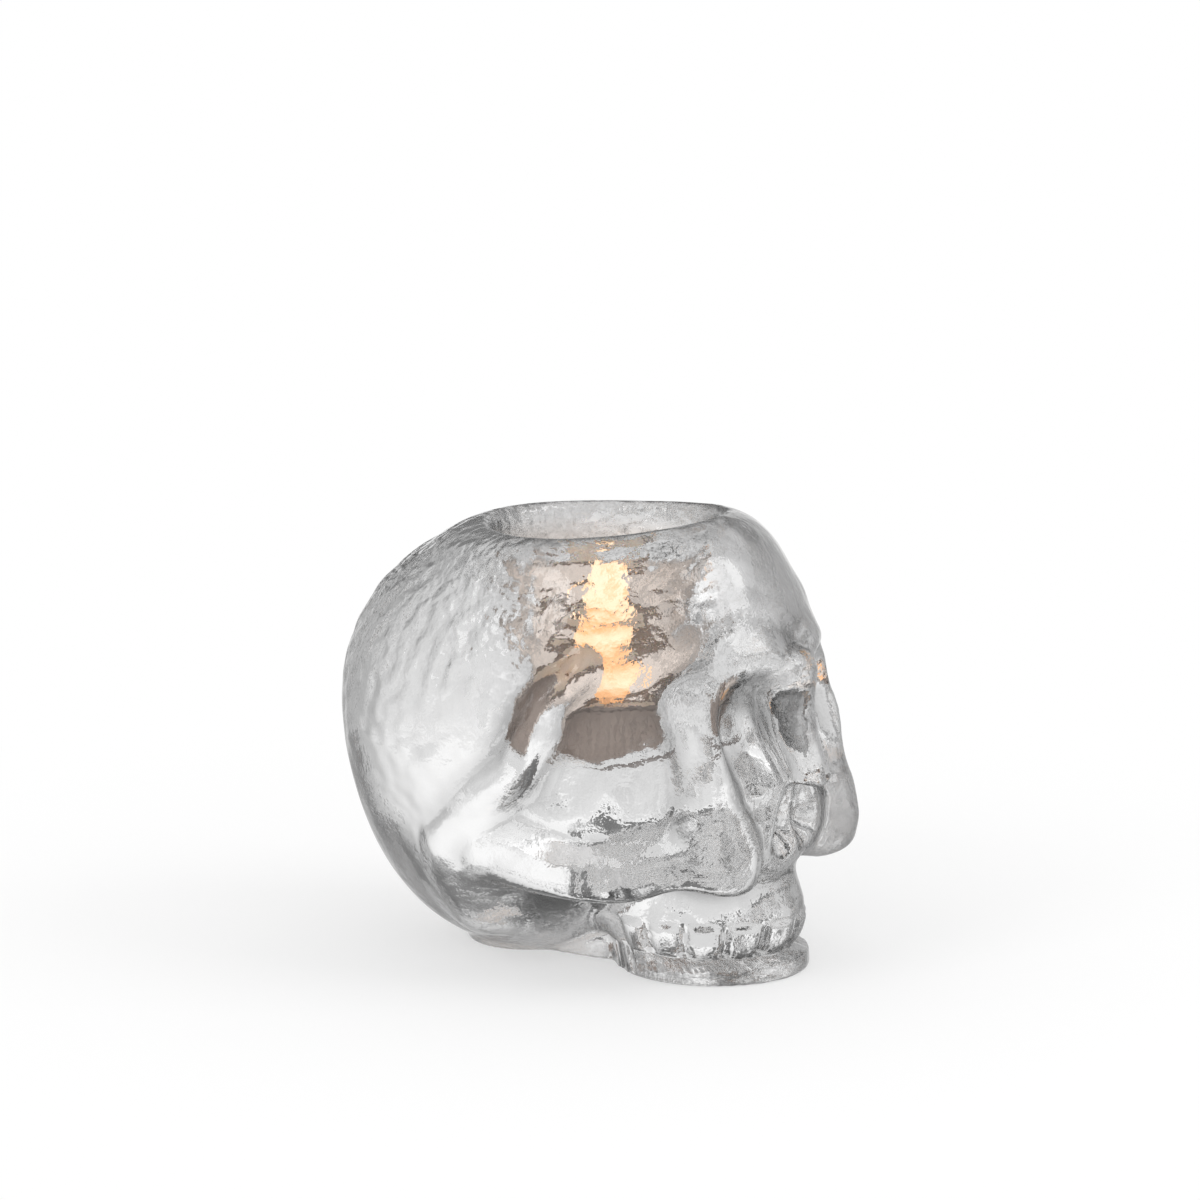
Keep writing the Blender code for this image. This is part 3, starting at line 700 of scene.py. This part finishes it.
def turned_grid(profile, steps, base_height, crimp=0.0, crimp_from=0.0, crimp_to=1.0):
    """The profile turned about the tealight's axis, its radius changed by crimp * cos(n * angle) between two
    heights, where it eases in as a sine of the share of that height."""
    profile = np.asarray(profile)
    angle = np.arange(steps) / steps * 2 * math.pi
    share = np.clip((profile[:, 1] - crimp_from) / (crimp_to - crimp_from), 0.0, 1.0)
    depth = crimp * np.sin(share * math.pi)
    radius = profile[:, :1] + depth[:, None] * (np.cos(CRIMPS * angle) - 1.0)
    return np.stack([tealight_axis[0] + radius * np.cos(angle), tealight_axis[1] + radius * np.sin(angle),
                     base_height + profile[:, 1:] + 0 * radius], -1)


def build_cup():
    """Cup wall, from the middle of the underside up the outside, over the bead and down the inside."""
    edge = TEALIGHT_RADIUS - CUP_BEAD
    foot = 3 * CUP_WALL
    side = np.linspace(foot, CUP_SIDE_TOP, SIDE_ROWS)
    floor_edge = edge - CUP_WALL - foot
    profile = np.vstack([
        np.stack([np.linspace(POLE_RADIUS, edge - foot, 8), np.zeros(8)], -1),
        arc((edge - foot, foot), foot, -80, -10, 6),
        np.stack([np.full(SIDE_ROWS, edge), side], -1),
        arc((edge, TEALIGHT_HEIGHT - CUP_BEAD), CUP_BEAD, -70, 170, 14),
        np.stack([np.full(SIDE_ROWS, edge - CUP_WALL), side[::-1]], -1),
        arc((floor_edge, foot), foot - CUP_WALL, 0, -90, 6),
        np.stack([np.linspace(floor_edge - CUP_WALL, POLE_RADIUS, 8), np.full(8, CUP_WALL)], -1)])
    points = turned_grid(profile, CUP_STEPS, cup_low.z, CRIMP_DEPTH, foot, CUP_SIDE_TOP)
    bottom, inner_bottom = [*tealight_axis, cup_low.z], [*tealight_axis, cup_low.z + CUP_WALL]
    return closed_mesh("crimped_cup", points, [bottom], [inner_bottom])


cup = build_cup()
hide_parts("tealight_cup")
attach(cup, "root")
print("cup:", len(cup.data.polygons), "faces")

# %% [markdown]
# ## Wax
#
# The wax fills the cup but has shrunk from it by a hair. While it burns, its top is a shallow dish with a
# small pool round the wick. A hole for the wick and its clip runs through the middle, so the profile closes
# on itself, and the turned grid closes both ways.

# %% Dished wax
WAX_HEIGHT = 0.0104
WAX_GAP = 0.0003
WAX_FOOT = 0.0015
WAX_EDGE = 0.0004
SIDE_FROM, SIDE_BELOW_TOP = 0.0018, 0.0006
CLIP_RADIUS = 0.0064
DISH_DEPTH = 0.0012
POOL_DEPTH, POOL_WIDTH = 0.0002, 0.0010
POOL_EDGE = 0.0021
WICK_HOLE = ((0.0020, 0.0090), (0.0020, 0.0060), (0.0020, 0.0012), (0.0040, 0.0011), (0.0063, 0.0011))
WAX_STEPS = 160


def build_wax():
    """The wax as a turned solid. The dish rises with the fourth power of the radius, and the pool is a bell
    curve."""
    edge = TEALIGHT_RADIUS - CUP_BEAD - CUP_WALL - WAX_GAP
    spread = np.linspace(edge - SIDE_BELOW_TOP, POOL_EDGE, 40)
    dish = WAX_HEIGHT - DISH_DEPTH * (1 - (spread / edge) ** 4)
    dish = dish - POOL_DEPTH * np.exp(-((spread - POOL_EDGE) / POOL_WIDTH) ** 2)
    profile = np.vstack([
        np.stack([np.linspace(CLIP_RADIUS, edge - WAX_FOOT, 8), np.zeros(8)], -1),
        arc((edge - WAX_FOOT, WAX_FOOT), WAX_FOOT, -80, -5, 6),
        np.stack([np.full(14, edge), np.linspace(SIDE_FROM, WAX_HEIGHT - SIDE_BELOW_TOP, 14)], -1),
        arc((edge - WAX_EDGE, WAX_HEIGHT - WAX_EDGE), WAX_EDGE, 10, 80, 5),
        np.stack([spread, dish], -1),
        WICK_HOLE])
    return turned_grid(profile, WAX_STEPS, wax_low.z)


def ring_mesh(name, points):
    """A grid that closes both ways: round the axis, and from its last row to its first."""
    index = np.arange(points.shape[0] * points.shape[1]).reshape(points.shape[:2])
    beside, above = np.roll(index, -1, axis=1), np.roll(index, -1, axis=0)
    both = np.roll(beside, -1, axis=0)
    quads = np.stack([index, beside, both, above], -1).reshape(-1, 4)
    return new_piece(name, points.reshape(-1, 3).tolist(), quads.tolist())


wax = ring_mesh("candle_wax", build_wax())
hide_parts("tealight_wax")
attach(wax, "root")
print("wax:", len(wax.data.polygons), "faces")


# %% [markdown]
# ## Wick
#
# A wick is a flat braid of cotton. A round tube along its line, whose radius swells and shrinks with the
# angle and the height together, gives the plait of a braid. Its tip curls over and glows.

# %% Braided wick
WICK_RADIUS = 0.00072
WICK_ROOM = 0.0016
WICK_FREE_FROM = 0.34
PLAIT_RELIEF, PLAIT_TURN = 0.07, 60
TIP_POWER, TIP_BLUNTNESS = 14, 1.02
wick_low, wick_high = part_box("wick")


def build_wick():
    """Tube round a line that leans by the square of the height above the wax. Two plaits, cos(2 angle +
    turns) and cos(2 angle - turns), change its radius, which runs out at the tip."""
    rows, columns = 90, 24
    share = np.linspace(0.0, 1.0, rows)[:, None]
    angle = np.arange(columns)[None, :] / columns * 2 * math.pi
    height = wick_low.z + (wick_high.z - wick_low.z) * share
    free = np.clip((share - WICK_FREE_FROM) / (1 - WICK_FREE_FROM), 0.0, 1.0)
    lean = (wick_high.x - wick_low.x - WICK_ROOM) * free ** 2
    plaits = np.cos(2 * angle + PLAIT_TURN * share) + np.cos(2 * angle - PLAIT_TURN * share)
    taper = np.sqrt(np.clip(TIP_BLUNTNESS - share ** TIP_POWER, 0.0, 1.0))
    radius = WICK_RADIUS * (1 + PLAIT_RELIEF * plaits) * taper
    return np.stack([tealight_axis[0] + lean + radius * np.cos(angle),
                     tealight_axis[1] + radius * np.sin(angle), height + 0 * angle], -1), lean[-1, 0]


wick_grid, tip_lean = build_wick()
wick = closed_mesh("braided_wick", wick_grid, [[*tealight_axis, wick_low.z]],
                   [[tealight_axis[0] + tip_lean, tealight_axis[1], wick_high.z]])
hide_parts("wick")
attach(wick, "root")
print("wick:", len(wick.data.polygons), "faces")

# %% [markdown]
# ## Flame
#
# A candle flame is a drop of glowing soot: pale yellow in its belly, orange at its tip, dark at its foot. A
# volume of light would be slow to render and lost in the export, so a turned drop whose radius is a sine of
# the height carries it. The light comes from its own material, so the glass and the wax take their glow from
# it.

# %% Flame
FLAME_BELOW_TIP = 0.0045
FLAME_FOOT = wick_high.z - FLAME_BELOW_TIP
FLAME_HEIGHT = 0.0270
FLAME_RADIUS = 0.0062
FLAME_SWAY = 0.0012
BELLY_POWER, DROP_POWER = 0.62, 0.9


def build_flame():
    """Radius r * sin(pi * share ** a) ** b: a below 1 puts the belly low. The axis sways to one side."""
    rows, columns = 72, 64
    share = np.linspace(0.0, 1.0, rows)[1:-1, None]
    angle = np.arange(columns)[None, :] / columns * 2 * math.pi
    radius = FLAME_RADIUS * np.sin(math.pi * share ** BELLY_POWER) ** DROP_POWER
    sway = FLAME_SWAY * share ** 2
    centre = np.array([tealight_axis[0] + tip_lean * 0.6, tealight_axis[1]])
    points = np.stack([centre[0] + radius * np.cos(angle), centre[1] - sway + radius * np.sin(angle),
                       FLAME_FOOT + FLAME_HEIGHT * share + 0 * angle], -1)
    foot = [centre[0], centre[1], FLAME_FOOT]
    tip = [centre[0], centre[1] - FLAME_SWAY, FLAME_FOOT + FLAME_HEIGHT]
    return closed_mesh("candle_flame", points, [foot], [tip])


flame = build_flame()
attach(flame, "root")
print("flame from", round(FLAME_FOOT * 1000, 1), "to", round((FLAME_FOOT + FLAME_HEIGHT) * 1000, 1), "mm")

# %% [markdown]
# ## Finishes of the tealight
#
# Drawn aluminium has fine upright lines, which noise squeezed along the height gives. Wax is cloudy and lets
# some light in below its skin. The tinned clip is a little mottled. The cotton is pale where it stands in the
# wax and charred above. The flame runs from a dark foot to a pale belly and an orange tip, with tongues of
# orange all over it.

# %% Aluminium, wax and tin
BARE_ALUMINIUM = (0.42, 0.385, 0.37, 1.0)
TINNED_STEEL = (0.62, 0.62, 0.60, 1.0)
WAX_TONES = ((0.0, (0.84, 0.79, 0.70)), (1.0, (0.93, 0.91, 0.86)))
WAX_DEPTHS = (0.006, 0.004, 0.0025)
DRAWN_STRETCH = (1.0, 1.0, 0.15)
aluminium, tree, shader = new_finish("crimped_aluminium", Base_Color=BARE_ALUMINIUM, Metallic=1.0)
drawn_lines = noise_value(tree, place_nodes(tree, DRAWN_STRETCH), scale=900.0, detail=3.0)
tree.links.new(raised_normal(tree, drawn_lines, distance=0.0002, strength=0.4), shader.inputs["Normal"])
tree.links.new(map_range(tree, drawn_lines, outputs=(0.22, 0.42)), shader.inputs["Roughness"])
finish_piece(cup, aluminium)

wax_finish, tree, shader = new_finish("melted_wax", Roughness=0.32, IOR=1.44, Subsurface_Weight=0.35,
                                      Subsurface_Radius=WAX_DEPTHS, Subsurface_Scale=1.0)
wax_cloud = noise_value(tree, place_nodes(tree), scale=260.0, detail=4.0)
tree.links.new(tone_between(tree, wax_cloud, WAX_TONES), shader.inputs["Base Color"])
tree.links.new(raised_normal(tree, wax_cloud, distance=0.0002, strength=0.3), shader.inputs["Normal"])
finish_piece(wax, wax_finish)

steel, tree, shader = new_finish("tinned_steel", Base_Color=TINNED_STEEL, Metallic=1.0, Roughness=0.35)
tin_spots = noise_value(tree, place_nodes(tree), scale=700.0, detail=3.0)
tree.links.new(raised_normal(tree, tin_spots, distance=0.0001, strength=0.3), shader.inputs["Normal"])
finish_piece(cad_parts["wick_clip"], steel)
print("finishes so far:", [m.name for m in bpy.data.materials])

# %% Cotton and flame
CHAR_FROM, CHAR_TO = wick_high.z - 0.0085, wick_high.z - 0.0045
COTTON_TONES = ((0.0, (0.62, 0.56, 0.46)), (1.0, (0.03, 0.025, 0.02)))
FLAME_TONES = ((0.0, (0.45, 0.22, 0.10)), (0.16, (0.90, 0.50, 0.24)), (0.34, (1.0, 0.82, 0.58)),
               (0.70, (1.0, 0.86, 0.66)), (1.0, (1.0, 0.50, 0.20)))
TONGUE_COLOUR = (1.0, 0.55, 0.26, 1.0)
TONGUE_SCALE = 190.0
TONGUE_EDGE, TONGUE_SHARES = (0.44, 0.62), (0.0, 0.85)
FLAME_STRENGTH = 1.3
BLACK = (0.0, 0.0, 0.0, 1.0)
cotton, tree, shader = new_finish("charred_cotton", Roughness=0.95)
cotton_place = place_nodes(tree)
cotton_fuzz = noise_value(tree, cotton_place, scale=2200.0, detail=2.0)
burnt = map_range(tree, axis_value(tree, cotton_place, "Z"), (CHAR_FROM, CHAR_TO))
tree.links.new(tone_between(tree, burnt, COTTON_TONES), shader.inputs["Base Color"])
tree.links.new(raised_normal(tree, cotton_fuzz, distance=0.0002, strength=0.6), shader.inputs["Normal"])
finish_piece(wick, cotton)

flame_finish, tree, shader = new_finish("candle_flame", Base_Color=BLACK, Roughness=1.0,
                                        Emission_Strength=FLAME_STRENGTH)
flame_place = place_nodes(tree)
flame_share = map_range(tree, axis_value(tree, flame_place, "Z"), (FLAME_FOOT, FLAME_FOOT + FLAME_HEIGHT))
tongues = noise_value(tree, flame_place, TONGUE_SCALE, detail=2.0)
flame_tone = add_node(tree, "ShaderNodeMix", {"B": TONGUE_COLOUR},
                      {"Factor": map_range(tree, tongues, TONGUE_EDGE, TONGUE_SHARES),
                       "A": tone_between(tree, flame_share, FLAME_TONES)}, data_type="RGBA")
tree.links.new(flame_tone.outputs["Result"], shader.inputs["Emission Color"])
finish_piece(flame, flame_finish)
print("finishes:", [m.name for m in bpy.data.materials])

# %% [markdown]
# ## Floor
#
# The skull stands on a plain pale floor that runs out to white. Glass shows what is round it, so the floor
# has two faces: the camera sees a matt one that keeps the skull's shadow and pales with the distance, and
# rays that come by way of glass or metal see a plain tone with a painted shadow, greyer near the skull.

# %% Floor
FLOOR_RADIUS = 6.0
FLOOR_CORNERS = 96
FLOOR_DROP = 0.0001
FLOOR_PALES = (0.06, 0.24)
FLOOR_WHITE_SHARE = (0.50, 1.0)
FLOOR_GREY = (0.88, 0.88, 0.88, 1.0)
WHITE = (1.0, 1.0, 1.0, 1.0)
MIRRORED_REACH = 1.2
# Painted shadow: the floor as seen by way of glass or metal is greyer near the skull.
MIRRORED_PAINTED_SHADOW_TONES = ((0.0, 0.70), (0.06, 0.70), (0.16, 0.74), (0.35, 0.86), (0.60, 1.0), (1.0, 1.0))


def build_floor():
    """A disc: one ring of points on a circle, one face."""
    angle = np.arange(FLOOR_CORNERS) / FLOOR_CORNERS * 2 * math.pi
    ring = FLOOR_RADIUS * np.stack([np.cos(angle), np.sin(angle)], -1)
    points = np.hstack([ring, np.full((FLOOR_CORNERS, 1), -FLOOR_DROP)])
    return new_piece("studio_floor", points.tolist(), [list(range(FLOOR_CORNERS))])


def shiny_ray(tree, path):
    """1 for a ray by way of glass or metal: the larger of Is Glossy Ray and Is Transmission Ray."""
    return combined(tree, "MAXIMUM", path.outputs["Is Glossy Ray"], path.outputs["Is Transmission Ray"])


def shaders_mixed(tree, factor, first, second):
    """The first shader where the factor is 0, and the second where it is 1."""
    return add_node(tree, "ShaderNodeMixShader", links={0: factor, 1: first.outputs[0], 2: second.outputs[0]})


floor = build_floor()
floor_finish = bpy.data.materials.new("pale_floor")
floor_finish.use_nodes = True
tree = floor_finish.node_tree
tree.nodes.clear()
floor_place = place_nodes(tree)
length = add_node(tree, "ShaderNodeVectorMath", links={0: floor_place.outputs[0]}, operation="LENGTH")
distance = length.outputs["Value"]
path = add_node(tree, "ShaderNodeLightPath")
paleness = map_range(tree, distance, FLOOR_PALES, FLOOR_WHITE_SHARE, smooth=True)
white_share = combined(tree, "MULTIPLY", paleness, path.outputs["Is Camera Ray"])
matt = add_node(tree, "ShaderNodeBsdfDiffuse", {"Color": FLOOR_GREY})
white = add_node(tree, "ShaderNodeEmission", {"Color": WHITE, "Strength": 1.0})
seen = shaders_mixed(tree, white_share, matt, white)
# Painted shadow near the skull in the tone that glass and metal see.
mirrored_tone_with_painted_shadow = tone_between(tree, map_range(tree, distance, (0.0, MIRRORED_REACH)), MIRRORED_PAINTED_SHADOW_TONES)
mirrored = add_node(tree, "ShaderNodeEmission", {"Strength": 1.0}, {"Color": mirrored_tone_with_painted_shadow})
both = shaders_mixed(tree, shiny_ray(tree, path), seen, mirrored)
add_node(tree, "ShaderNodeOutputMaterial", links={"Surface": both.outputs[0]})
finish_piece(floor, floor_finish)
print("floor radius", FLOOR_RADIUS, "m")

# %% [markdown]
# ## The studio round it
#
# Clear glass has no colour of its own: its darks are dark things in the room, and here also painted shade in
# the glass's colour. A photographer stands black cards beside white soft boxes. Here the world gives the same
# for shiny rays: a nearly white room with a few upright dark cards and a dark band over them. Matt surfaces
# get even light from all sides, and the camera sees white.

# %% World
ROOM_STRENGTH = 0.9
CARDS = 5.0
CARD_TURN = 1.3
CARD_EDGE = (-0.88, -0.30)
CARD_TONES = (0.16, 1.0)
HEIGHT_TONES = ((0.0, 0.6), (0.50, 1.0), (0.62, 1.0), (0.69, 0.20), (0.75, 0.15), (0.80, 0.95), (1.0, 1.0))
world = bpy.data.worlds.new("studio")
bpy.context.scene.world = world
world.use_nodes = True
tree = world.node_tree
tree.nodes.clear()
sky = add_node(tree, "ShaderNodeTexCoord")
axes = add_node(tree, "ShaderNodeSeparateXYZ", links={0: sky.outputs["Generated"]})
heading = add_node(tree, "ShaderNodeMath", links={0: axes.outputs["Y"], 1: axes.outputs["X"]},
                   operation="ARCTAN2")
card_angle = add_node(tree, "ShaderNodeMath", {1: CARDS, 2: CARD_TURN}, {0: heading.outputs[0]},
                      operation="MULTIPLY_ADD")
card_wave = add_node(tree, "ShaderNodeMath", links={0: card_angle.outputs[0]}, operation="SINE")
card_tone = map_range(tree, card_wave.outputs[0], CARD_EDGE, CARD_TONES, smooth=True)
height_tone = tone_between(tree, map_range(tree, axes.outputs["Z"], (-1.0, 1.0)), HEIGHT_TONES)
room = add_node(tree, "ShaderNodeBackground", {"Color": WHITE, "Strength": ROOM_STRENGTH})
studio = add_node(tree, "ShaderNodeBackground", {"Strength": 1.0},
                  {"Color": tones_multiplied(tree, height_tone, card_tone)})
backdrop = add_node(tree, "ShaderNodeBackground", {"Color": WHITE, "Strength": 1.0})
path = add_node(tree, "ShaderNodeLightPath")
indirect = shaders_mixed(tree, shiny_ray(tree, path), room, studio)
whole = shaders_mixed(tree, path.outputs["Is Camera Ray"], indirect, backdrop)
add_node(tree, "ShaderNodeOutputWorld", links={"Surface": whole.outputs[0]})
print("world:", len(tree.nodes), "nodes")

# %% [markdown]
# ## Soft boxes
#
# Two large weak lamps, one in front and one at the side, lay soft highlights on the glass. Rays that pass
# through the glass don't meet them, because two bright squares inside it would look like lamps in the room.

# %% Lights
def soft_box(name, place, aim, width, height, power):
    """A rectangular area light at a place, turned to face the point it aims at."""
    light = bpy.data.lights.new(name, "AREA")
    light.shape = "RECTANGLE"
    light.size, light.size_y, light.energy = width, height, power
    lamp = bpy.data.objects.new(name, light)
    bpy.context.scene.collection.objects.link(lamp)
    lamp.location = place
    lamp.rotation_euler = (Vector(aim) - Vector(place)).to_track_quat("-Z", "Y").to_euler()
    lamp.visible_transmission = False
    return lamp


SKULL_MIDDLE = (0.0, 0.0, 0.05)
soft_box("front_box", (0.25, -0.85, 0.75), SKULL_MIDDLE, 0.60, 0.45, 3.0)
soft_box("side_box", (-0.95, 0.30, 0.70), SKULL_MIDDLE, 0.45, 0.60, 3.0)

# %% [markdown]
# ## Camera
#
# The camera stands a metre away, at the side of the face and a little above, and looks with a long lens. Its
# aim is worked out from where the middle of the skull lies in the picture, so that the skull stands at its
# place in the frame at its true size.

# %% Camera
AZIMUTH, ELEVATION = math.radians(-60.0), math.radians(11.0)
CAMERA_DISTANCE = 1.0
PIXELS_PER_METRE, FRAME_PIXELS = 4750.0, 1200.0
OBJECT_MIDDLE = Vector((0.0, 0.0, 0.045))
MIDDLE_PIXEL = (606.0, 738.0)
towards = Vector((math.sin(AZIMUTH) * math.cos(ELEVATION), -math.cos(AZIMUTH) * math.cos(ELEVATION),
                  math.sin(ELEVATION)))
right = Vector((math.cos(AZIMUTH), math.sin(AZIMUTH), 0.0))
up = towards.cross(right)
aim_point = (OBJECT_MIDDLE - right * ((MIDDLE_PIXEL[0] - FRAME_PIXELS / 2) / PIXELS_PER_METRE)
             + up * ((MIDDLE_PIXEL[1] - FRAME_PIXELS / 2) / PIXELS_PER_METRE))
lens = bpy.data.cameras.new("camera")
lens.sensor_width = 36.0
lens.lens = lens.sensor_width * PIXELS_PER_METRE * CAMERA_DISTANCE / FRAME_PIXELS
lens.clip_start = 0.01
camera = bpy.data.objects.new("camera", lens)
bpy.context.scene.collection.objects.link(camera)
camera.location = aim_point + towards * CAMERA_DISTANCE
camera.rotation_euler = (-towards).to_track_quat("-Z", "Y").to_euler()
bpy.context.scene.camera = camera
print("camera at", [round(v, 3) for v in camera.location], "lens", round(lens.lens, 1), "mm")

# %% [markdown]
# ## Light paths
#
# A ray crosses many glass surfaces on its way through the skull, so it may bend more often than usual before
# it is given up.

# %% Bounces and view
cycles = bpy.context.scene.cycles
cycles.max_bounces = 24
cycles.transmission_bounces = 24
cycles.glossy_bounces = 16
bpy.context.scene.view_settings.view_transform = "Standard"

print("bounces:", cycles.max_bounces)
